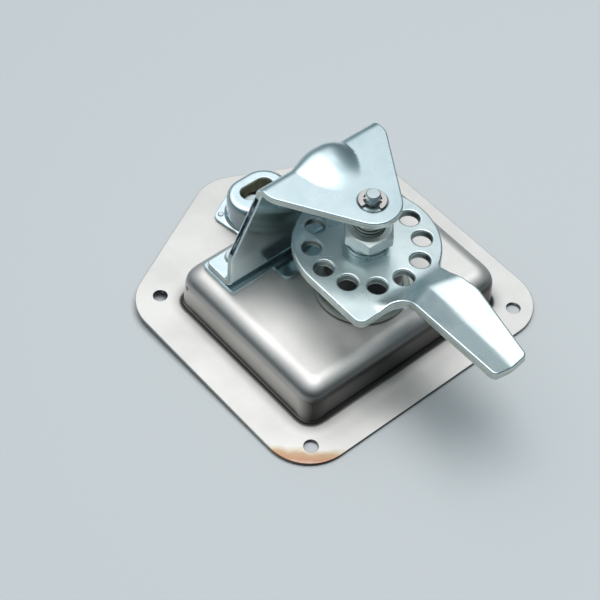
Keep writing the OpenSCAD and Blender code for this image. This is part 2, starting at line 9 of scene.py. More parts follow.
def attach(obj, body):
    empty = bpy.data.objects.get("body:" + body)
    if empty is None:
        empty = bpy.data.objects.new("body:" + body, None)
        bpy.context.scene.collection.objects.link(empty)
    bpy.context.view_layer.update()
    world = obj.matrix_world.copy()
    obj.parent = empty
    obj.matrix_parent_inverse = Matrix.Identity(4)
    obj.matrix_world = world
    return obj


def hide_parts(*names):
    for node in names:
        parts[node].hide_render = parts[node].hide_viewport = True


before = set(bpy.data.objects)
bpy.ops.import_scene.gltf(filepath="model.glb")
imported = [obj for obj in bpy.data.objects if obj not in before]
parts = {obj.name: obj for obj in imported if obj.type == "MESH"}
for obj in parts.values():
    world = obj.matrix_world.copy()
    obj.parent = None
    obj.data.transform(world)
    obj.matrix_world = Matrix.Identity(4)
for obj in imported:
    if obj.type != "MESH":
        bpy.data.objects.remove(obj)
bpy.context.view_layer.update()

MM = 0.001

# Sizes repeated from the part's source, in millimetres
SHAFT_Y = -12.7
SHEET, PAN_HALF, PAN_FRONT, PAN_EAVES, PAN_APEX, PAN_CORNER = 1.5, 70.0, -59.1, 54.0, 88.5, 20.0
SCREW_X, SCREW_Y, SCREW_R = 56.6, 48.6, 3.0
DISH_HALF, DISH_LONG, DISH_H = 52.5, 42.2, 21.0
DISH_CORNER, DISH_TOP_R, DISH_BASE_R, SPIGOT_R = 10.0, 8.0, 2.0, 13.92
LOCK_X, LOCK_Y, LOCK_MID, BARREL_R, LOCK_RIVET_R = 2.0, 59.0, 5.2, 6.6, 1.1
LOCK_RIVETS = ((-8.6, 67.6), (19.0, 67.6), (-6.4, 49.1), (16.8, 49.1))
LOCK_FLANGE = [(14.0, -12.3, 4), (17.5, 9.6, 4), (5.8, 15.4, 4)]
CUP_R, CUP_RUN, CUP_TOP, LOCK_FLANGE_T = 11.4, 6.4, 15.2, 1.6
WINDOW_R, WINDOW_RUN, WINDOW_Y = 4.1, 8.2, 60.4
CAM_TOP, CAM_T, CAM_R = 49.6, 4.0, 30.0
JOGGLE_START, JOGGLE_SLOPE, CREASE_H, FLANK_SLOPE = 25.8, 0.34, 2.6, 0.11
ARM_L, ARM_TIP, ARM_LEFT, ARM_RIGHT = 81.3, 8.2, 9.3, 14.3
RING_R, RING_HOLE_R, RING_COUNT, RING_TURN = 22.3, 4.0, 12, 28.15
BRACKET_T, BEND_IN, BRACKET_TOP, BASE_TOP = 3.2, 2.0, 74.0, 23.0
WALL_Y, FOOT_END, WALL_EDGE_Z = 18.0, 34.3, 42.0
BASE_HALF, BASE_FRONT, BASE_BACK, TONGUE_HALF, TONGUE_Y = 44.3, 16.8, 36.2, 22.3, 8.7
PLATE_HALF, FOOT_HALF, FLARE, NOSE_R = 30.4, 43.8, math.radians(32.5), 12.0
RIVET_X, RIVET_Y, RIVET_HOLE_R = 33.0, 28.8, 3.1
THREAD_R, CLIP_TOP, CLIP_T, CLIP_MOUTH = 5.43, 75.1, 0.7, -137
NUT_FOOT, NUT_TOP, NUT_FLATS, NUT_TURN = 54.5, 60.0, 19.0, math.radians(-131)

# Sizes that only the scene has, in millimetres. The thread's real pitch is 1.75 mm, which is too fine to show well, so
# it is drawn a little coarser.
CUP_T, CUP_EDGE_R, CUP_BASE_R, TAIL_HOLE_R = 1.5, 2.6, 1.5, 3.6
THREAD_CREST, THREAD_PITCH, THREAD_TOP = 6.1, 1.9, 67.2

# Sizes of the patterns on surfaces, in millimetres. Rolled, sheared and moulded grain is really finer than 0.1 mm, and
# is drawn coarser so that it shows.
ZINC_CLOUD, ZINC_MARK = 22, 1.6
PAN_CLOUD, CASTING_CLOUD, ROLLED_GRAIN, TINT_EDGE = 26, 30, 0.5, 9
SHEAR_SCORE, NYLON_CLOUD, RUBBER_GRAIN = 0.8, 3, 0.6

# Settings of a node that mixes two colours, and of one that multiplies them
MIXED = {"data_type": "RGBA", "out": 2}
MULTIPLIED = {"blend_type": "MULTIPLY", **MIXED}


def srgb(code):
    """Linear colour of an sRGB hex value such as "C8CDD0"."""
    channels = [int(code[i:i + 2], 16) / 255 for i in (0, 2, 4)]
    return tuple(c / 12.92 if c <= 0.04045 else ((c + 0.055) / 1.055) ** 2.4 for c in channels) + (1.0,)


def add(tree, kind, values=None, links=None, stops=(), out=0, **settings):
    """Add a shader node with its settings, constant inputs, linked inputs and the (position, sRGB hex) stops of its
    colour ramp. Returns one of its outputs, by number or name."""
    made = tree.nodes.new("ShaderNode" + kind)
    for name, value in settings.items():
        setattr(made, name, value)
    for name, value in (values or {}).items():
        made.inputs[name].default_value = value
    for name, source in (links or {}).items():
        tree.links.new(source, made.inputs[name])
    if stops:
        elements = made.color_ramp.elements
        while len(elements) < len(stops):
            elements.new(0.5)
        for element, (position, code) in zip(elements, stops):
            element.position = position
            element.color = srgb(code)
    return made.outputs[out] if made.outputs else None


def per_mm(size):
    """Texture scale that gives a pattern of about this size in millimetres."""
    return 1.0 / (size * MM)


def limits(low, high, start=0.0, end=1.0):
    """Inputs that carry values from low to high over to values from start to end."""
    return {"From Min": low, "From Max": high, "To Min": start, "To Max": end}


def new_material(name):
    """A material with an empty node tree, and its object coordinates."""
    material = bpy.data.materials.new(name)
    material.use_nodes = True
    tree = material.node_tree
    tree.nodes.clear()
    return material, tree, add(tree, "TexCoord", out="Object")


def off_spindle(tree, place):
    """Distance from the spindle axis."""
    off_axis = add(tree, "VectorMath", {1: (0, SHAFT_Y * MM, 0)}, {0: place}, operation="SUBTRACT")
    level = add(tree, "VectorMath", {1: (1, 1, 0)}, {0: off_axis}, operation="MULTIPLY")
    return add(tree, "VectorMath", links={0: level}, out="Value", operation="LENGTH")


def off_spot(tree, place, centre, near, far):
    """From 0 within the distance near of a spot to 1 beyond the distance far, all in millimetres."""
    away = add(tree, "VectorMath", {1: Vector(centre) * MM}, {0: place}, out="Value", operation="DISTANCE")
    return add(tree, "MapRange", limits(near * MM, far * MM), {"Value": away}, interpolation_type="SMOOTHSTEP")


def steepness(tree):
    """From 0 on level faces to 1 on upright ones."""
    upright = add(tree, "SeparateXYZ", links={"Vector": add(tree, "NewGeometry", out="Normal")}, out="Z")
    return add(tree, "MapRange", limits(0.8, 0.25), {"Value": upright}, interpolation_type="SMOOTHSTEP")


def rolled_grain(tree, place):
    """Fine grain that the rolling mill leaves along X."""
    stretched = add(tree, "Mapping", {"Scale": (0.06, 1.0, 1.0)}, {"Vector": place})
    return add(tree, "TexNoise", {"Scale": per_mm(ROLLED_GRAIN), "Detail": 3, "Roughness": 0.65},
               {"Vector": stretched})


def broken_relief(tree, height, strength, depth, edge):
    """Normal with a fine relief of a depth in millimetres, and with sharp edges broken by the radius edge."""
    softened = add(tree, "Bevel", {"Radius": edge * MM}, samples=6)
    return add(tree, "Bump", {"Strength": strength, "Distance": depth * MM}, {"Height": height, "Normal": softened})


def zinc_plate(name, pale, deep, rough, edge=0.35, metal=0.93, wall=None, painted_shading_at=None, painted_clip_shade=False):
    """Bright zinc plate on pressed steel: blue-white, with cloudy passivation and fine handling marks. Upright faces
    may be painted darker as painted shade, a spot may be painted whiter as a painted glow, and black rings of painted
    shade may be drawn on the clip's seat round the spindle. Chrome, bronze and spring steel have the same clouds and
    marks."""
    material, tree, place = new_material(name)
    clouds = add(tree, "TexNoise", {"Scale": per_mm(ZINC_CLOUD), "Detail": 4, "Roughness": 0.55}, {"Vector": place})
    marks = add(tree, "TexNoise", {"Scale": per_mm(ZINC_MARK), "Detail": 3, "Roughness": 0.6}, {"Vector": place})
    colour = add(tree, "ValToRGB", links={"Fac": clouds}, stops=((0.3, deep), (0.5, pale), (0.72, deep)))
    # Painted shade: upright faces take the darker wall colour, by how steep the face is
    if wall:
        colour = add(tree, "Mix", {7: srgb(wall)}, {0: steepness(tree), 6: colour}, **MIXED)
    # Painted light: a whiter glow round a spot, standing in for light the disc lacks in front of the nut
    if painted_shading_at:
        painted_shading = add(tree, "ValToRGB", links={"Fac": clouds}, stops=((0.3, "E8FAFD"), (0.5, "F2FFFF")))
        colour = add(tree, "Mix", links={0: off_spot(tree, place, painted_shading_at, 10, 29), 6: painted_shading, 7: colour}, **MIXED)
    # Painted shade: a black disc round the spindle for the shade in the gap under the clip, and a grey ring for the
    # clip's shadow outline
    if painted_clip_shade:
        out = add(tree, "MapRange", limits(0.0, 10 * MM), {"Value": off_spindle(tree, place)})
        painted_clip_shadow = add(tree, "ValToRGB", links={"Fac": out},
                    stops=((0.39, "1D1B19"), (0.45, "F4F4F4"), (0.55, "FFFFFF"), (0.58, "6C6C6C"), (0.61, "8A8A8A"),
                           (0.66, "FFFFFF")))
        colour = add(tree, "Mix", {0: 1.0}, {6: colour, 7: painted_clip_shadow}, **MULTIPLIED)
    finish = add(tree, "MapRange", limits(0.35, 0.65, rough * 0.8, rough * 1.25), {"Value": clouds})
    relief = broken_relief(tree, marks, 0.05, 0.05, edge)
    shader = add(tree, "BsdfPrincipled", {"Metallic": metal},
                 {"Base Color": colour, "Roughness": finish, "Normal": relief})
    add(tree, "OutputMaterial", links={"Surface": shader})
    return material


def drawn_stainless(name, pale, deep, side_wall_shade, front_wall_shade):
    """Cold-rolled stainless sheet: satin where it lies flat, with a painted glow on the dish top near the hub, darker
    as painted shade and smoother on the walls (the front one most), with a band of painted shade on the roll, a dark
    line of painted shade at the dish's foot and a straw-brown heat tint at the lower left corner."""
    material, tree, place = new_material(name)
    clouds = add(tree, "TexNoise", {"Scale": per_mm(PAN_CLOUD), "Detail": 4, "Roughness": 0.55}, {"Vector": place})
    satin = add(tree, "ValToRGB", links={"Fac": clouds}, stops=((0.32, deep), (0.62, pale)))
    # Painted light: a paler glow on the dish top at the hub's front left, where the cam shades it
    dish_painted_glow = add(tree, "ValToRGB", links={"Fac": clouds}, stops=((0.32, "DCDAD7"), (0.62, "E4E2DF")))
    off_dish_painted_glow = off_spot(tree, place, (-27, -4, DISH_H), 4, 32)
    satin = add(tree, "Mix", links={0: off_dish_painted_glow, 6: dish_painted_glow, 7: satin}, **MIXED)

    # Painted shade: upright walls are darkened by which way they face, the front-facing ones most
    to_front = add(tree, "SeparateXYZ", links={"Vector": add(tree, "NewGeometry", out="Normal")}, out="Y")
    front = add(tree, "MapRange", limits(-0.1, -0.8), {"Value": to_front})
    wall = add(tree, "ValToRGB", links={"Fac": front}, stops=((0.0, side_wall_shade), (1.0, front_wall_shade)))
    steep = steepness(tree)
    colour = add(tree, "Mix", links={0: steep, 6: satin, 7: wall}, **MIXED)
    # Painted shade: a darker band on the roll between the dish top and its walls
    painted_shading = add(tree, "ValToRGB", links={"Fac": steep},
               stops=((0.0, "FFFFFF"), (0.5, "D2D2D2"), (0.85, "E9E9E9"), (1.0, "FFFFFF")))
    colour = add(tree, "Mix", {0: 1.0}, {6: colour, 7: painted_shading}, **MULTIPLIED)

    # Painted shade: a dark band along the foot of the dish, where the wall's shade lies on the fillet
    height = add(tree, "SeparateXYZ", links={"Vector": place}, out="Z")
    rise = add(tree, "MapRange", limits(0.0, 4 * MM), {"Value": height})
    crease = add(tree, "ValToRGB", links={"Fac": rise},
                 stops=((0.01, "FFFFFF"), (0.07, "E4E4E4"), (0.12, "7C7A78"), (0.3, "6C6A68"), (0.42, "FFFFFF")))
    colour = add(tree, "Mix", {0: 1.0}, {6: colour, 7: crease}, **MULTIPLIED)

    lower_left = (-math.sqrt(0.5), -math.sqrt(0.5), 0)
    to_corner = add(tree, "VectorMath", {1: lower_left}, {0: place}, out="Value", operation="DOT_PRODUCT")
    drift = add(tree, "TexNoise", {"Scale": per_mm(TINT_EDGE), "Detail": 4, "Roughness": 0.6}, {"Vector": place})
    reach = add(tree, "Math", {1: 6 * MM}, {0: drift, 2: to_corner}, operation="MULTIPLY_ADD")
    heat = add(tree, "MapRange", limits(78.6 * MM, 86.5 * MM), {"Value": reach})
    tint = add(tree, "ValToRGB", links={"Fac": heat},
               stops=((0.0, "FFFFFF"), (0.15, "F2E8D8"), (0.35, "DCBF9F"), (0.65, "D6AA8F"), (0.95, "ECD0C2")))
    colour = add(tree, "Mix", {0: 1.0}, {6: colour, 7: tint}, **MULTIPLIED)

    finish = add(tree, "MapRange", limits(0.0, 1.0, 0.56, 0.2), {"Value": steep})
    relief = broken_relief(tree, rolled_grain(tree, place), 0.08, 0.03, 0.3)
    shader = add(tree, "BsdfPrincipled", {"Metallic": 1.0},
                 {"Base Color": colour, "Roughness": finish, "Normal": relief})
    add(tree, "OutputMaterial", links={"Surface": shader})
    return material


def satin_stainless(name, pale, deep, rough, edge=0.3):
    """Worked stainless steel: warm grey satin with a fine grain along X."""
    material, tree, place = new_material(name)
    grain = rolled_grain(tree, place)
    clouds = add(tree, "TexNoise", {"Scale": per_mm(CASTING_CLOUD), "Detail": 3, "Roughness": 0.5}, {"Vector": place})
    colour = add(tree, "ValToRGB", links={"Fac": clouds}, stops=((0.32, deep), (0.62, pale)))
    finish = add(tree, "MapRange", limits(0.3, 0.7, rough * 0.88, rough * 1.14), {"Value": grain})
    relief = broken_relief(tree, grain, 0.06, 0.03, edge)
    shader = add(tree, "BsdfPrincipled", {"Metallic": 1.0},
                 {"Base Color": colour, "Roughness": finish, "Normal": relief})
    add(tree, "OutputMaterial", links={"Surface": shader})
    return material


def sheared_edge(name):
    """Broken edge left by the shear: black-grey and rough, with bright streaks where the plating held."""
    material, tree, place = new_material(name)
    drawn_out = add(tree, "Mapping", {"Scale": (0.25, 1.0, 0.16)}, {"Vector": place})
    scores = add(tree, "TexNoise", {"Scale": per_mm(SHEAR_SCORE), "Detail": 3, "Roughness": 0.65},
                 {"Vector": drawn_out})
    colour = add(tree, "ValToRGB", links={"Fac": scores},
                 stops=((0.38, "1C2026"), (0.5, "3C444C"), (0.62, "8E9AA2"), (0.7, "C4CED3")))
    relief = add(tree, "Bump", {"Strength": 0.3, "Distance": 0.15 * MM}, {"Height": scores})
    shader = add(tree, "BsdfPrincipled", {"Metallic": 1.0, "Roughness": 0.45},
                 {"Base Color": colour, "Normal": relief})
    add(tree, "OutputMaterial", links={"Surface": shader})
    return material


def casting_with_painted_shade(name):
    """Cast zinc: dull grey on the flange, and painted black up the barrel as painted shade under the cam."""
    material, tree, place = new_material(name)
    height = add(tree, "SeparateXYZ", links={"Vector": place}, out="Z")
    # Painted shade: darker with height up the barrel, under the cam
    up = add(tree, "MapRange", limits(28 * MM, 36 * MM), {"Value": height})
    colour = add(tree, "ValToRGB", links={"Fac": up}, stops=((0.0, "B7BBB4"), (1.0, "2A2C2C")))
    shader = add(tree, "BsdfPrincipled", {"Metallic": 1.0, "Roughness": 0.4}, {"Base Color": colour})
    add(tree, "OutputMaterial", links={"Surface": shader})
    return material


def thread_with_painted_shade(name):
    """Rolled zinc-plated thread: painted black in the roots as painted shade, and paler towards the crests."""
    material, tree, place = new_material(name)
    height = add(tree, "MapRange", limits(THREAD_R * MM, THREAD_CREST * MM), {"Value": off_spindle(tree, place)})
    colour = add(tree, "ValToRGB", links={"Fac": height},
                 stops=((0.15, "1B1A17"), (0.55, "8A877C"), (0.85, "E4E2D8")))
    shader = add(tree, "BsdfPrincipled", {"Metallic": 1.0, "Roughness": 0.28}, {"Base Color": colour})
    add(tree, "OutputMaterial", links={"Surface": shader})
    return material


def white_nylon(name):
    """Moulded nylon: milky white, with a soft sheen."""
    material, tree, place = new_material(name)
    clouds = add(tree, "TexNoise", {"Scale": per_mm(NYLON_CLOUD), "Detail": 2}, {"Vector": place})
    colour = add(tree, "ValToRGB", links={"Fac": clouds}, stops=((0.3, "D9D8D1"), (0.7, "E6E5DF")))
    shader = add(tree, "BsdfPrincipled", {"Roughness": 0.5}, {"Base Color": colour})
    add(tree, "OutputMaterial", links={"Surface": shader})
    return material


def black_rubber(name):
    """Moulded rubber: near black, dull, with a fine matt grain."""
    material, tree, place = new_material(name)
    grain = add(tree, "TexNoise", {"Scale": per_mm(RUBBER_GRAIN), "Detail": 3}, {"Vector": place})
    colour = add(tree, "ValToRGB", links={"Fac": grain}, stops=((0.3, "141517"), (0.7, "1E1F22")))
    relief = add(tree, "Bump", {"Strength": 0.2, "Distance": 0.05 * MM}, {"Height": grain})
    shader = add(tree, "BsdfPrincipled", {"Roughness": 0.75}, {"Base Color": colour, "Normal": relief})
    add(tree, "OutputMaterial", links={"Surface": shader})
    return material


def arc(centre, radius, start, end, steps):
    """Points of an arc in a plane, from one angle to another in degrees."""
    angles = [math.radians(start + (end - start) * i / steps) for i in range(steps + 1)]
    return [Vector((centre[0] + radius * math.cos(a), centre[1] + radius * math.sin(a))) for a in angles]


def circle(x, y, radius, steps=36):
    """Closed loop of points round a centre."""
    return arc((x, y), radius, 0, 360, steps)[:-1]


def rounded(points, steps=10):
    """Closed outline through (x, y, corner radius) points, as in the part's source."""
    outline = []
    for i, (x, y, radius) in enumerate(points):
        corner = Vector((x, y))
        if radius == 0:
            outline.append(corner)
            continue
        back = (Vector(points[i - 1][:2]) - corner).normalized()
        ahead = (Vector(points[(i + 1) % len(points)][:2]) - corner).normalized()
        half = back.angle(ahead) / 2
        centre = corner + (back + ahead).normalized() * radius / math.sin(half)
        first = corner + back * radius / math.tan(half) - centre
        last = corner + ahead * radius / math.tan(half) - centre
        start = math.degrees(math.atan2(first.y, first.x))
        turn = (math.degrees(math.atan2(last.y, last.x)) - start + 180) % 360 - 180
        outline += arc(centre, radius, start, start + turn, steps)
    return outline


def divided(outline, step):
    """The same outline with extra points, so that no side is longer than the step."""
    fine = []
    for i, point in enumerate(outline):
        after = outline[(i + 1) % len(outline)]
        count = max(1, math.ceil((after - point).length / step))
        fine += [point.lerp(after, k / count) for k in range(count)]
    return fine


def inward(outline):
    """For each point of a loop, the way to the material on its left, scaled to a depth of one."""
    ways = []
    for i, point in enumerate(outline):
        before = (point - outline[i - 1]).normalized()
        after = (outline[(i + 1) % len(outline)] - point).normalized()
        left_before, left_after = Vector((-before.y, before.x)), Vector((-after.y, after.x))
        ways.append((left_before + left_after) / max(0.4, 1 + left_before.dot(left_after)))
    return ways


def within(points, loops):
    """Which points lie inside an odd number of the loops."""
    inside = np.zeros(len(points), bool)
    for loop in loops:
        ends = np.array([tuple(p) for p in loop])
        for (x0, y0), (x1, y1) in zip(ends, np.roll(ends, -1, axis=0)):
            if y0 == y1:
                continue
            crosses = (y0 > points[:, 1]) != (y1 > points[:, 1])
            inside ^= crosses & (points[:, 0] < (x1 - x0) * (points[:, 1] - y0) / (y1 - y0) + x0)
    return inside


def smooth_min(a, b, reach):
    """The lesser of two heights, rounded over where they meet."""
    near = max(reach - abs(a - b), 0) / reach
    return min(a, b) - near * near * reach / 4


def new_piece(name, points, faces):
    """Mesh object in the scene, from points in millimetres."""
    mesh = bpy.data.meshes.new(name)
    mesh.from_pydata([p * MM for p in points], [], faces)
    piece = bpy.data.objects.new(name, mesh)
    bpy.context.scene.collection.objects.link(piece)
    return piece


def pressed_sheet(name, outline, holes, face, thick, pitch, edge, edge_finish=None, back_finish=None):
    """Sheet-metal piece made from a flat blank, in millimetres.

    face(u, v) carries a point of the blank to the outer side of the pressed piece. The sheet lies behind that side,
    and all its edges are rolled over by the radius edge. edge_finish(u, v, hole) gives the number of the material on
    a blanked edge, or on the punched edge of a hole, and back_finish(u, v) of the one on the back.
    """
    def place(u, v):
        step = 0.02
        here = face(u, v)
        normal = (face(u + step, v) - face(u - step, v)).cross(face(u, v + step) - face(u, v - step))
        return here, normal.normalized()

    # Flat mesh of the blank inside its rims
    loops = [divided(outline, pitch)] + [list(reversed(hole)) for hole in holes]
    ways = [inward(loop) for loop in loops]
    rims = [[p + w * edge for p, w in zip(loop, way)] for loop, way in zip(loops, ways)]
    low = np.array([min(p[k] for p in rims[0]) for k in (0, 1)])
    high = np.array([max(p[k] for p in rims[0]) for k in (0, 1)])
    us, vs = [np.arange(low[k] + pitch / 2, high[k], pitch) for k in (0, 1)]
    grid = np.array([(u, v) for v in vs for u in us])
    grid = grid[within(grid, rims)]
    border = np.array([tuple(p) for rim in rims for p in rim])
    gap = np.array([np.min(np.hypot(*(border - q).T)) for q in grid])
    grid = grid[gap > 0.45 * pitch]
    flat = [Vector(p) for rim in rims for p in rim] + [Vector(q) for q in grid]
    sides, first = [], 0
    for rim in rims:
        sides += [(first + i, first + (i + 1) % len(rim)) for i in range(len(rim))]
        first += len(rim)
    spots, _, triangles, sources, _, _ = geometry.delaunay_2d_cdt(flat, sides, [], 1, 1e-6)
    spots = [Vector(s) for s in spots]
    middles = np.array([tuple(sum((spots[i] for i in t), Vector((0, 0))) / 3) for t in triangles])
    triangles = [t for t, keep in zip(triangles, within(middles, rims)) if keep]
    index_of = {source: i for i, from_ in enumerate(sources) for source in from_}

    # Both sides of the pressed sheet
    points, normals, faces, slots = [], [], [], []
    placed = [place(*spot) for spot in spots]
    for depth, side in ((0, 1), (thick, -1)):
        points += [p - n * depth for p, n in placed]
        normals += [n * side for p, n in placed]
    count = len(spots)
    for triangle in triangles:
        p, q, r = [spots[i] for i in triangle]
        a, b, c = triangle if (q - p).cross(r - p) > 0 else reversed(triangle)
        faces += [(a, b, c), (count + c, count + b, count + a)]
        slots += [0, back_finish(*spots[a]) if back_finish else 0]

    # Rolled rim round the outline and each hole
    quarter = [math.radians(a) for a in (30, 60, 90)]
    first = 0
    for number, (loop, way) in enumerate(zip(loops, ways)):
        rows = [[index_of[first + i] for i in range(len(loop))]]
        for lower in (False, True):
            for angle in (reversed(quarter) if lower else quarter):
                row = []
                for p, w in zip(loop, way):
                    here, normal = place(*(p + w * edge * (1 - math.sin(angle))))
                    out = (place(*p)[0] - place(*(p + w * edge))[0]).normalized()
                    depth = edge * (1 - math.cos(angle))
                    up = normal * math.cos(angle) * (-1 if lower else 1)
                    row.append(len(points))
                    points.append(here - normal * (thick - depth if lower else depth))
                    normals.append((up + out * math.sin(angle)).normalized())
                rows.append(row)
        rows.append([count + i for i in rows[0]])
        for step, (upper, lower) in enumerate(zip(rows, rows[1:])):
            for i in range(len(loop)):
                j = (i + 1) % len(loop)
                faces.append((upper[j], upper[i], lower[i], lower[j]))
                slots.append(edge_finish(*loop[i], number > 0) if edge_finish and step == len(quarter) else 0)
        first += len(loop)

    piece = new_piece(name, points, faces)
    piece.data.polygons.foreach_set("material_index", slots)
    piece.data.shade_smooth()
    piece.data.normals_split_custom_set_from_vertices(normals)
    return piece


def drawn(centre, half, corner, height, top_r, base_r, foot, lead=0.0, lead_run=1.0, square_off=0.0):
    """Ways between a flat blank and a dish drawn out of it, in millimetres.

    The dish's plan is a rectangle of the given half sizes, grown by the corner radius. Its top edge is rolled, and its
    foot, which stands out at the corners by square_off, runs into the flange at the height foot, with a rise of lead
    that fades over lead_run. Returns face(u, v) for the blank, and unroll(point) from plan to blank.
    """
    flat_end = corner - top_r
    roll_end = flat_end + top_r * math.pi / 2
    wall_end = roll_end + height - top_r - base_r - lead
    base_end = wall_end + base_r * math.pi / 2

    def from_core(point):
        off = point - centre
        core = Vector([max(-h, min(h, o)) for h, o in zip(half, off)])
        return centre + core, off - core

    def section(run):
        if run < flat_end:
            return run, height
        if run < roll_end:
            a = (run - flat_end) / top_r
            return flat_end + top_r * math.sin(a), height - top_r * (1 - math.cos(a))
        if run < wall_end:
            return corner, height - top_r - (run - roll_end)
        if run < base_end:
            a = (run - wall_end) / base_r
            return corner + base_r * (1 - math.cos(a)), lead + base_r * (1 - math.sin(a))
        return corner + base_r + run - base_end, lead * (max(0, 1 - (run - base_end) / lead_run) ** 2)

    def standing_out(away, run):
        turn = math.atan2(away.y, away.x)
        return square_off * math.sin(2 * turn) ** 2 * max(0, min(1, (run - flat_end) / (wall_end - flat_end)))

    def face(u, v):
        core, away = from_core(Vector((u, v)))
        run = away.length
        plan, rise = section(run)
        plan += standing_out(away, run)
        spot = core + away * (plan / run if run else 0)
        return Vector((spot.x, spot.y, foot + rise))

    def unroll(point):
        core, away = from_core(Vector(point))
        past = away.length - corner - standing_out(away, wall_end)
        if past > base_r:
            run = base_end + past - base_r
        else:
            run = wall_end + base_r * math.acos(1 - past / base_r)
        return core + away * (run / away.length)

    return face, unroll


# Pan: house-shaped flange with the dish drawn out of it; drawing leaves the flange lifted a little round its foot
pan_face, pan_unroll = drawn(Vector((0, 0)), (DISH_HALF - DISH_CORNER, DISH_LONG - DISH_CORNER), DISH_CORNER, DISH_H,
                             DISH_TOP_R, DISH_BASE_R, 0, lead=0.3, lead_run=6, square_off=1.6)
pan_outline = rounded([(-PAN_HALF, PAN_FRONT, PAN_CORNER), (PAN_HALF, PAN_FRONT, PAN_CORNER),
                       (PAN_HALF, PAN_EAVES, PAN_CORNER), (0, PAN_APEX, PAN_CORNER),
                       (-PAN_HALF, PAN_EAVES, PAN_CORNER)], 24)
flange_holes = [circle(x, y, SCREW_R) for x in (-SCREW_X, SCREW_X) for y in (-SCREW_Y, SCREW_Y)]
flange_holes += [circle(LOCK_X, LOCK_Y, BARREL_R)] + [circle(x, y, LOCK_RIVET_R, 16) for x, y in LOCK_RIVETS]
rivet_holes = [circle(x, RIVET_Y, RIVET_HOLE_R) for x in (-RIVET_X, RIVET_X)]
pan = pressed_sheet("mounting_pan_drawn", [pan_unroll(p) for p in divided(pan_outline, 2)],
                    [[pan_unroll(p) for p in hole] for hole in flange_holes]
                    + [circle(0, SHAFT_Y, SPIGOT_R, 60)] + rivet_holes, pan_face, SHEET, pitch=1.1, edge=0.3)

# Lock housing: oblong cup drawn out of a tapered flange, with an oblong window in its top
CUP_INSIDE = 1
cup_face, cup_unroll = drawn(Vector((LOCK_MID, LOCK_Y)), (CUP_RUN / 2, 0), CUP_R, CUP_TOP - LOCK_FLANGE_T, CUP_EDGE_R,
                             CUP_BASE_R, LOCK_FLANGE_T)
cup_plan = rounded(LOCK_FLANGE + [(-x, y, r) for x, y, r in reversed(LOCK_FLANGE)])
cup_outline = [p + Vector((LOCK_MID, LOCK_Y)) for p in cup_plan]
window = (arc((LOCK_MID + WINDOW_RUN / 2, WINDOW_Y), WINDOW_R, -90, 90, 18)
          + arc((LOCK_MID - WINDOW_RUN / 2, WINDOW_Y), WINDOW_R, 90, 270, 18))
cup = pressed_sheet("lock_housing_drawn", [cup_unroll(p) for p in divided(cup_outline, 1)], [window], cup_face, CUP_T,
                    pitch=0.9, edge=0.35, edge_finish=lambda x, y, hole: CUP_INSIDE if hole else 0,
                    back_finish=lambda x, y: CUP_INSIDE)

# Base plate: blanked, so its lower edge leaves a dark line on the dish
base_half = [(-TONGUE_HALF, TONGUE_Y, 3), (-TONGUE_HALF, BASE_FRONT, 1), (-BASE_HALF, BASE_FRONT, 1),
             (-BASE_HALF, BASE_BACK, 2)]
base_outline = rounded(list(reversed(base_half)) + [(-x, y, r) for x, y, r in base_half])
base = pressed_sheet("base_plate_blanked", base_outline, rivet_holes, lambda x, y: Vector((x, y, BASE_TOP)),
                     BASE_TOP - DISH_H, pitch=3, edge=0.4)

# Cam: a disc with a ring of holes, and an arm that a joggle lifts and a crease folds
CREASE_AT, CREASE_WAY, CREASE_R = Vector((2.5, -30)), Vector((0.99872, -0.05059)), 0.5
SIDE_SLOPE, SIDE_START = 0.5, -19
CAM_HOLE_EDGE, CAM_RIM = 1, 2


def cam_face(x, y):
    """Top of the cam about the spindle axis: level disc, rolled joggle, and an arm folded into a shallow valley."""
    joggle = JOGGLE_SLOPE * (-JOGGLE_START - y)
    side = SIDE_SLOPE * (x - SIDE_START)
    across = (Vector((x, y)) - CREASE_AT).dot(CREASE_WAY)
    flanks = CREASE_H + FLANK_SLOPE * math.hypot(across, CREASE_R)
    rise = smooth_min(smooth_min(joggle, side, 1.6), flanks, 0.6)
    return Vector((x, y + SHAFT_Y, CAM_TOP - smooth_min(-rise, 0, 0.8)))


def cam_blank():
    """Outline of the cam: square corner, arm, fillet at the arm's root and disc."""
    lower = rounded([(-CAM_R, 0, 0), (-CAM_R, 0.4 - CAM_R, 4), (-ARM_LEFT, 0.4 - CAM_R, 6), (-ARM_TIP, 1 - ARM_L, 2.5),
                     (0, -ARM_L, 0), (ARM_TIP, 0.6 - ARM_L, 2.5), (ARM_RIGHT + 1.6, -CAM_R - 16, 14),
                     (ARM_RIGHT, -CAM_R - 2, 0)])
    root_r = 3.0
    root = Vector((ARM_RIGHT + root_r, -math.sqrt((CAM_R + root_r) ** 2 - (ARM_RIGHT + root_r) ** 2)))
    to_axis = math.degrees(math.atan2(-root.y, -root.x))
    fillet = arc(root, root_r, 180, to_axis, 6)
    return lower + fillet + arc((0, 0), CAM_R, to_axis - 180, 180, 110)[1:-1]


ring = [math.radians(RING_TURN + 360 / RING_COUNT * k) for k in range(RING_COUNT)]
ring_holes = [circle(RING_R * math.cos(turn), RING_R * math.sin(turn), RING_HOLE_R, 40) for turn in ring]
cam = pressed_sheet("cam_plate_pressed", cam_blank(), ring_holes, cam_face, CAM_T, pitch=1.3, edge=0.8,
                    edge_finish=lambda x, y, hole: CAM_HOLE_EDGE if hole else CAM_RIM)

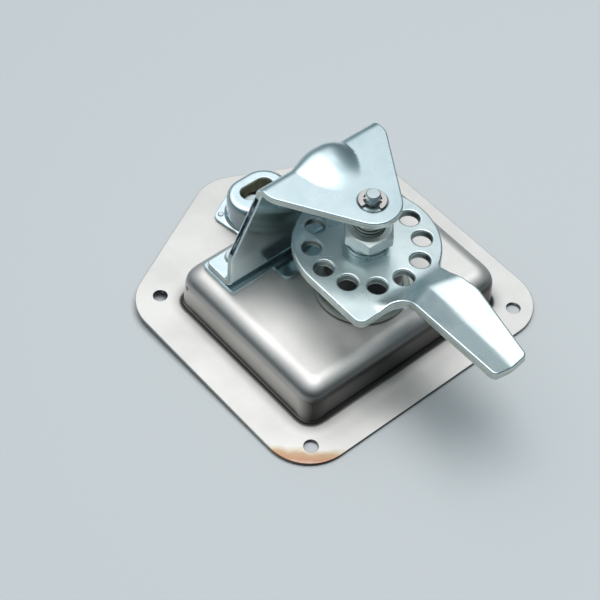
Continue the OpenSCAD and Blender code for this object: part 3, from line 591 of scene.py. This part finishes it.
# Bracket: top plate, upper bend, wall, lower bend and feet, with a gusset bead pressed out across the upper bend
BEND_OUT = BEND_IN + BRACKET_T
PLATE_END, WALL_BACK = WALL_Y - BEND_IN, WALL_Y + BRACKET_T
UPPER_BEND_Z, LOWER_BEND_Z = BRACKET_TOP - BEND_OUT, BASE_TOP + BEND_OUT
UPPER_ARC, LOWER_ARC = BEND_OUT * math.pi / 2, BEND_IN * math.pi / 2
WALL_END = UPPER_ARC + UPPER_BEND_Z - LOWER_BEND_Z
FOOT_START = WALL_END + LOWER_ARC
FOOT_Y = WALL_Y + BEND_OUT
NOSE_S = SHAFT_Y - NOSE_R / math.sin(FLARE) - PLATE_END
SHOULDER_S = NOSE_S + PLATE_HALF / math.tan(FLARE)
EDGE_S = UPPER_ARC + UPPER_BEND_Z - WALL_EDGE_Z
FOOT_S = FOOT_START + FOOT_END - FOOT_Y
RIVET_S = FOOT_START + RIVET_Y - FOOT_Y
BEAD_H, BEAD_LEFT, BEAD_RIGHT, BEAD_TAPER, BEAD_AT, BEAD_RUN = 3.4, 13.4, 12.4, 4.0, 0.5, 20.0
BEAD_ROUND, BEAD_FADE = 1.4, 1.6
BLANKED_EDGE, SHEARED_EDGE, UNDERSIDE, FRONT_WALL = 1, 2, 3, 4


def bracket_path(s):
    """Point (y, z) and normal of the bracket's outer side at the distance s from the start of the upper bend."""
    if s < 0:
        return PLATE_END + s, BRACKET_TOP, 0, 1
    if s < UPPER_ARC:
        a = s / BEND_OUT
        return PLATE_END + BEND_OUT * math.sin(a), UPPER_BEND_Z + BEND_OUT * math.cos(a), math.sin(a), math.cos(a)
    if s < WALL_END:
        return WALL_BACK, UPPER_BEND_Z - (s - UPPER_ARC), 1, 0
    if s < FOOT_START:
        a = (s - WALL_END) / BEND_IN
        return FOOT_Y - BEND_IN * math.cos(a), LOWER_BEND_Z - BEND_IN * math.sin(a), math.cos(a), math.sin(a)
    return FOOT_Y + s - FOOT_START, BASE_TOP + BRACKET_T, 0, 1


def bracket_face(x, s):
    """Outer side of the bracket with its bead, which is squarer on the right and fades towards the front."""
    run = (s - BEAD_AT) / BEAD_RUN
    across = x / (BEAD_LEFT if x < 0 else BEAD_RIGHT - BEAD_TAPER * min(1, run * run))
    off = max(1e-6, math.hypot(across, run))
    squareness = 2 + (across / off) ** 2 if x > 0 else 2
    out = BEAD_H * max(0, 1 - off ** squareness) ** BEAD_ROUND
    out *= max(0, 1 - run * run) ** BEAD_FADE if s < BEAD_AT else 1
    y, z, normal_y, normal_z = bracket_path(s)
    return Vector((x, y + normal_y * out, z + normal_z * out))


def bracket_edge(x, s, hole):
    """Dull blanked edge all round, and bare dark steel where the shear broke the slanted edges of the wall."""
    return SHEARED_EDGE if UPPER_ARC + 1 < s < EDGE_S - 1 and abs(x) > PLATE_HALF - 1 else BLANKED_EDGE


bracket_half = [(PLATE_HALF, SHOULDER_S, 9), (PLATE_HALF, UPPER_ARC, 6), (FOOT_HALF, EDGE_S, 3), (FOOT_HALF, FOOT_S, 2)]
bracket_blank = rounded([(0, NOSE_S, NOSE_R)] + bracket_half + [(-x, s, r) for x, s, r in reversed(bracket_half)], 12)
bracket_holes = [circle(x, s, r) for x, s, r in (
    (0, SHAFT_Y - PLATE_END, TAIL_HOLE_R), (-RIVET_X, RIVET_S, RIVET_HOLE_R), (RIVET_X, RIVET_S, RIVET_HOLE_R))]
bracket = pressed_sheet("support_bracket_pressed", bracket_blank, bracket_holes, bracket_face, BRACKET_T, pitch=0.8,
                        edge=0.7, edge_finish=bracket_edge,
                        back_finish=lambda x, s: UNDERSIDE if s < 0 else FRONT_WALL)


def clip_outline():
    """E-clip seen from above: a ring with a wide mouth and three prongs that grip the groove of the spindle's tail."""
    half_mouth, out_r, gap_r, grip_r, prongs = 40, 5.7, 3.7, 2.6, (90, 180, 270)
    inner = []
    for turn in range(360 - half_mouth, half_mouth - 1, -4):
        radius = grip_r if any(abs(turn - prong) < 10 for prong in prongs) else gap_r
        inner += arc((0, 0), radius, turn + CLIP_MOUTH, turn + CLIP_MOUTH, 1)[:1]
    return arc((0, 0), out_r, half_mouth + 3 + CLIP_MOUTH, 357 - half_mouth + CLIP_MOUTH, 60) + inner


clip = pressed_sheet("retaining_clip_punched", clip_outline(), [], lambda x, y: Vector((x, y + SHAFT_Y, CLIP_TOP)),
                     CLIP_T, pitch=0.6, edge=0.15)


def thread_ridge(name, low, high):
    """Helical ridge of the spindle's thread, on the rod that the source gives at the pitch radius."""
    per_turn, run_out, root_half, crest_half = 60, 20, 0.46, 0.08
    root_r, crest_foot = THREAD_R - 0.1, THREAD_R - 0.05
    steps = int((high - low) / THREAD_PITCH * per_turn)
    points, faces = [], []
    for i in range(steps + 1):
        turn = 2 * math.pi * i / per_turn
        full = min(1, i / run_out, (steps - i) / run_out)
        crest = crest_foot + (THREAD_CREST - crest_foot) * full
        for radius, shift in ((root_r, -root_half), (crest, -crest_half), (crest, crest_half), (root_r, root_half)):
            points.append(Vector((radius * math.cos(turn), SHAFT_Y + radius * math.sin(turn),
                                  low + THREAD_PITCH * (i / per_turn + shift))))
        if i:
            faces += [(4 * i - 4 + k, 4 * i + k, 4 * i + k + 1, 4 * i - 3 + k) for k in range(3)]
            faces.append((4 * i - 1, 4 * i + 3, 4 * i, 4 * i - 4))
    faces += [(0, 1, 2, 3), (4 * steps + 3, 4 * steps + 2, 4 * steps + 1, 4 * steps)]
    return new_piece(name, points, faces)


def turned(name, section, steps):
    """Piece swept round the spindle axis; section(angle) gives its (radius, height) loop at an angle."""
    points, faces = [], []
    for i in range(steps):
        angle = 2 * math.pi * i / steps
        loop = section(angle)
        points += [Vector((r * math.cos(angle), SHAFT_Y + r * math.sin(angle), z)) for r, z in loop]
    size = len(loop)
    for i in range(steps):
        here, after = i * size, (i + 1) % steps * size
        faces += [(here + k, after + k, after + (k + 1) % size, here + (k + 1) % size) for k in range(size)]
    piece = new_piece(name, points, faces)
    piece.data.shade_smooth()
    piece.data.set_sharp_from_angle(angle=math.radians(25))
    return piece


def nut_section(angle):
    """Hexagon nut with a flat foot; the cone turned on its top leaves a bow on each flat."""
    sixth, cone_slope, bore_chamfer = math.pi / 3, 0.62, 0.9
    off = (angle - NUT_TURN) % sixth - sixth / 2
    out = NUT_FLATS / 2 / math.cos(off)
    top_r, bore = NUT_FLATS / 2 - 0.5, THREAD_R + 0.05
    side_top = NUT_TOP - cone_slope * (out - top_r)
    return [(bore, NUT_FOOT), (out, NUT_FOOT), (out, side_top), (top_r, NUT_TOP), (bore + bore_chamfer, NUT_TOP),
            (bore, NUT_TOP - bore_chamfer)]


def collar_section(angle):
    """Thick washer on the cam and the neck under the nut, with a dark groove between them."""
    washer_r, washer_top, neck_r, groove, bore = 9.0, CAM_TOP + 1.7, 8.5, 0.45, THREAD_R + 0.05
    return [(bore, CAM_TOP), (washer_r - 0.4, CAM_TOP), (washer_r, CAM_TOP + 0.4), (washer_r, washer_top - 0.25),
            (washer_r - 0.25, washer_top), (neck_r - groove, washer_top), (neck_r - groove, washer_top + groove),
            (neck_r, washer_top + groove), (neck_r, NUT_FOOT), (bore, NUT_FOOT)]


thread = thread_ridge("spindle_thread", NUT_TOP - 1.2, THREAD_TOP)
nut = turned("cam_nut_chamfered", nut_section, 144)
collar = turned("drive_collar_turned", collar_section, 96)

# The pan's walls carry painted shade, darkest on the front wall
pan_steel = drawn_stainless("cold_rolled_stainless_sheet", "C7C6C4", "BCBBB9", "B4B1AE", "4A4846")
handle_steel = satin_stainless("polished_stainless_casting", "D0CECB", "C2C0BC", rough=0.2, edge=0.6)
pin_steel = satin_stainless("ground_stainless_pin", "C8C6C3", "B9B7B4", rough=0.26)
washer_steel = satin_stainless("turned_steel_washer", "BDBFC0", "ABAEB0", rough=0.34)
# The cam carries a painted glow in front of the nut
cam_zinc = zinc_plate("bright_zinc_cam", "DEEAEB", "C8D7DC", rough=0.27, painted_shading_at=(-11, -21, CAM_TOP))
# The bracket has painted shade round the clip's seat
bracket_zinc = zinc_plate("bright_zinc_bracket", "DCECF0", "CBDEE4", rough=0.27, painted_clip_shade=True)
wall_zinc = zinc_plate("smooth_zinc_bracket_wall", "DCECF0", "CBDEE4", rough=0.14)
# Painted light: a paler, less metallic copy of the bracket zinc brightens the shaded underside
under_zinc = zinc_plate("pale_zinc_under_bracket_painted_light", "F4F8F8", "EAF0F0", rough=0.5, metal=0.3)
base_zinc = zinc_plate("bright_zinc_base_plate", "C8DADF", "B6CBD1", rough=0.16)
small_zinc = zinc_plate("bright_zinc_fastener", "D3DEE1", "BDCBD0", rough=0.28, edge=0.2)
nut_zinc = zinc_plate("bright_zinc_nut", "F5FAF8", "E4ECEB", rough=0.36, edge=0.2)
# The hub's barrel is painted black as shade under the cam
hub_zinc = casting_with_painted_shade("dull_cast_zinc")
# The cup's upright wall is painted darker, as painted shade
cup_zinc = zinc_plate("bright_zinc_drawn_cup", "DCEAEF", "CBDCE2", rough=0.18, wall="93A1A7")
cup_inside = zinc_plate("dull_olive_zinc_inside_cup", "E4E4CC", "CFCFB6", rough=0.7)
clip_steel = zinc_plate("bright_spring_steel", "DFD9D6", "CBC5C2", rough=0.24, edge=0.1)
bronze = zinc_plate("oiled_bronze", "B08A5A", "8E6B42", rough=0.35)
# The thread's roots are painted black as shade
thread_zinc = thread_with_painted_shade("zinc_thread_with_painted_shade")
chrome = zinc_plate("bright_chrome_plate", "D9DADB", "CCCED0", rough=0.08)
rubber = black_rubber("moulded_black_rubber")
nylon = white_nylon("moulded_white_nylon")
fracture = sheared_edge("sheared_bare_steel")
punched = zinc_plate("dull_zinc_punched_edge", "8C9796", "77827F", rough=0.5)
blanked = zinc_plate("dull_zinc_blanked_edge", "C9CEC6", "B2B8B0", rough=0.45)

FINISHES = {
    pan_steel: ["mounting_pan"],
    handle_steel: ["t_handle"],
    pin_steel: ["hinge_pin"],
    washer_steel: ["thrust_washer"],
    cam_zinc: ["cam_plate"],
    bracket_zinc: ["support_bracket"],
    base_zinc: ["base_plate"],
    hub_zinc: ["hub_housing", "hub_nut"],
    cup_zinc: ["lock_housing"],
    small_zinc: ["bracket_rivets", "spindle", "drive_collar", "cam_nut", "lock_rivets", "lock_nut", "lock_tail",
                 "tail_screw"],
    clip_steel: ["retaining_clip"],
    bronze: ["hub_bush"],
    chrome: ["lock_barrel", "lock_plug"],
    rubber: ["hub_gasket", "shaft_seal"],
    nylon: ["hinge_washers"],
}
for material, names in FINISHES.items():
    for name in names:
        parts[name].data.materials[0] = material

# Pieces made here: the body that each rides, the solid that it replaces, its slot and its materials by number
MADE = (
    (pan, "pan", "mounting_pan", "stainless_pan", [pan_steel]),
    (cup, "pan", "lock_housing", "zinc_lock_cup", [cup_zinc, cup_inside]),
    (cam, "rotor", "cam_plate", "zinc_cam", [cam_zinc, punched, blanked]),
    (bracket, "pan", "support_bracket", "zinc_bracket", [bracket_zinc, blanked, fracture, under_zinc, wall_zinc]),
    (base, "pan", "base_plate", "zinc_base", [base_zinc]),
    (collar, "rotor", "drive_collar", "zinc_collar", [small_zinc]),
    (nut, "rotor", "cam_nut", "zinc_nut", [nut_zinc]),
    (clip, "rotor", "retaining_clip", "spring_clip", [clip_steel]),
    (thread, "rotor", None, "zinc_spindle", [thread_zinc]),
)
for piece, body, replaced, slot, materials in MADE:
    for material in materials:
        piece.data.materials.append(material)
    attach(piece, body)
    if replaced:
        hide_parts(replaced)

# Floor: the latch rests on the pan's lower edge and on the lock's bezel, so the floor leans a little
BEZEL_Y, BEZEL_Z, FLOOR_SIZE, FLOOR_GAP = 49.5 * MM, -4.5 * MM, 6, 0.2 * MM
FRONT_EDGE_Y, FRONT_EDGE_Z = PAN_FRONT * MM, -SHEET * MM
lean = math.atan2(BEZEL_Z - FRONT_EDGE_Z, BEZEL_Y - FRONT_EDGE_Y)
bpy.ops.mesh.primitive_plane_add(size=FLOOR_SIZE)
floor = bpy.context.object
floor.name = "floor"
floor.matrix_world = (Matrix.Translation((0, FRONT_EDGE_Y, FRONT_EDGE_Z - FLOOR_GAP)) @ Matrix.Rotation(lean, 4, "X")
                      @ Matrix.Translation((0, -FRONT_EDGE_Y, 0)))
# Matt studio paper: even pale grey
paper, tree, _ = new_material("pale_studio_paper")
shader = add(tree, "BsdfPrincipled", {"Base Color": srgb("AFB4B7"), "Roughness": 0.85})
add(tree, "OutputMaterial", links={"Surface": shader})
floor.data.materials.append(paper)

# Camera at the photograph's place
CAMERA_PLACE = Vector((-335.11, -321.84, 567.74)) * MM
CAMERA_AXES = (Vector((0.75927, -0.64865, 0.052554)), Vector((0.478608, 0.611295, 0.630279)),
               Vector((-0.440957, -0.4534, 0.774588)))
camera_data = bpy.data.cameras.new("camera")
camera_data.sensor_width = 36
camera_data.lens = 104.36
camera = bpy.data.objects.new("camera", camera_data)
camera.matrix_world = Matrix.Translation(CAMERA_PLACE) @ Matrix(CAMERA_AXES).transposed().to_4x4()
bpy.context.scene.collection.objects.link(camera)
bpy.context.scene.camera = camera

# Lights: a softbox lights the paper, the satin pan and a few small pieces; the bright zinc mirrors the screen, and only
# a faint glow overhead lights it as well
LAMP_BEARING, LAMP_LIFT, LAMP_DISTANCE, LAMP_SIZE = math.radians(-20), math.radians(84), 1.5, 1.05
LAMP_AIM = Vector((0, 0, 0.03))


def softbox(name, power):
    """A square area light high over the latch."""
    light = bpy.data.lights.new(name, "AREA")
    light.shape = "RECTANGLE"
    light.size, light.size_y = LAMP_SIZE, LAMP_SIZE
    light.energy = power
    lamp = bpy.data.objects.new(name, light)
    way = Vector((math.cos(LAMP_BEARING) * math.cos(LAMP_LIFT), math.sin(LAMP_BEARING) * math.cos(LAMP_LIFT),
                  math.sin(LAMP_LIFT)))
    lamp.location = LAMP_AIM + way * LAMP_DISTANCE
    lamp.rotation_euler = way.to_track_quat("Z", "Y").to_euler()
    bpy.context.scene.collection.objects.link(lamp)
    return lamp


softbox("overhead_glow", 4)
key = softbox("overhead_softbox", 17)
lit = bpy.data.collections.new("lit_by_softbox")
for receiver in (floor, pan, cup, nut, collar, thread):
    lit.objects.link(receiver)
key.light_linking.receiver_collection = lit

# Studio: one large bright screen high behind the latch, in a dim teal-grey room
SCREEN_WAY = (-0.0368, 0.421, 0.906)
ROOM = ((0.25, "323C40"), (0.43, "465154"), (0.635, "496065"), (0.73, "687172"), (0.82, "AAAFB2"), (0.87, "C7CCCE"),
        (0.93, "DFDFDF"), (1.0, "FFFFFF"))
studio = bpy.data.worlds.new("studio")
bpy.context.scene.world = studio
studio.use_nodes = True
tree = studio.node_tree
tree.nodes.clear()
facing = add(tree, "VectorMath", {1: SCREEN_WAY}, {0: add(tree, "TexCoord", out="Generated")}, out="Value",
             operation="DOT_PRODUCT")
light = add(tree, "Background", {"Strength": 2.0}, {"Color": add(tree, "ValToRGB", links={"Fac": facing}, stops=ROOM)})
add(tree, "OutputWorld", links={"Surface": light})
bpy.context.scene.view_settings.view_transform = "Standard"
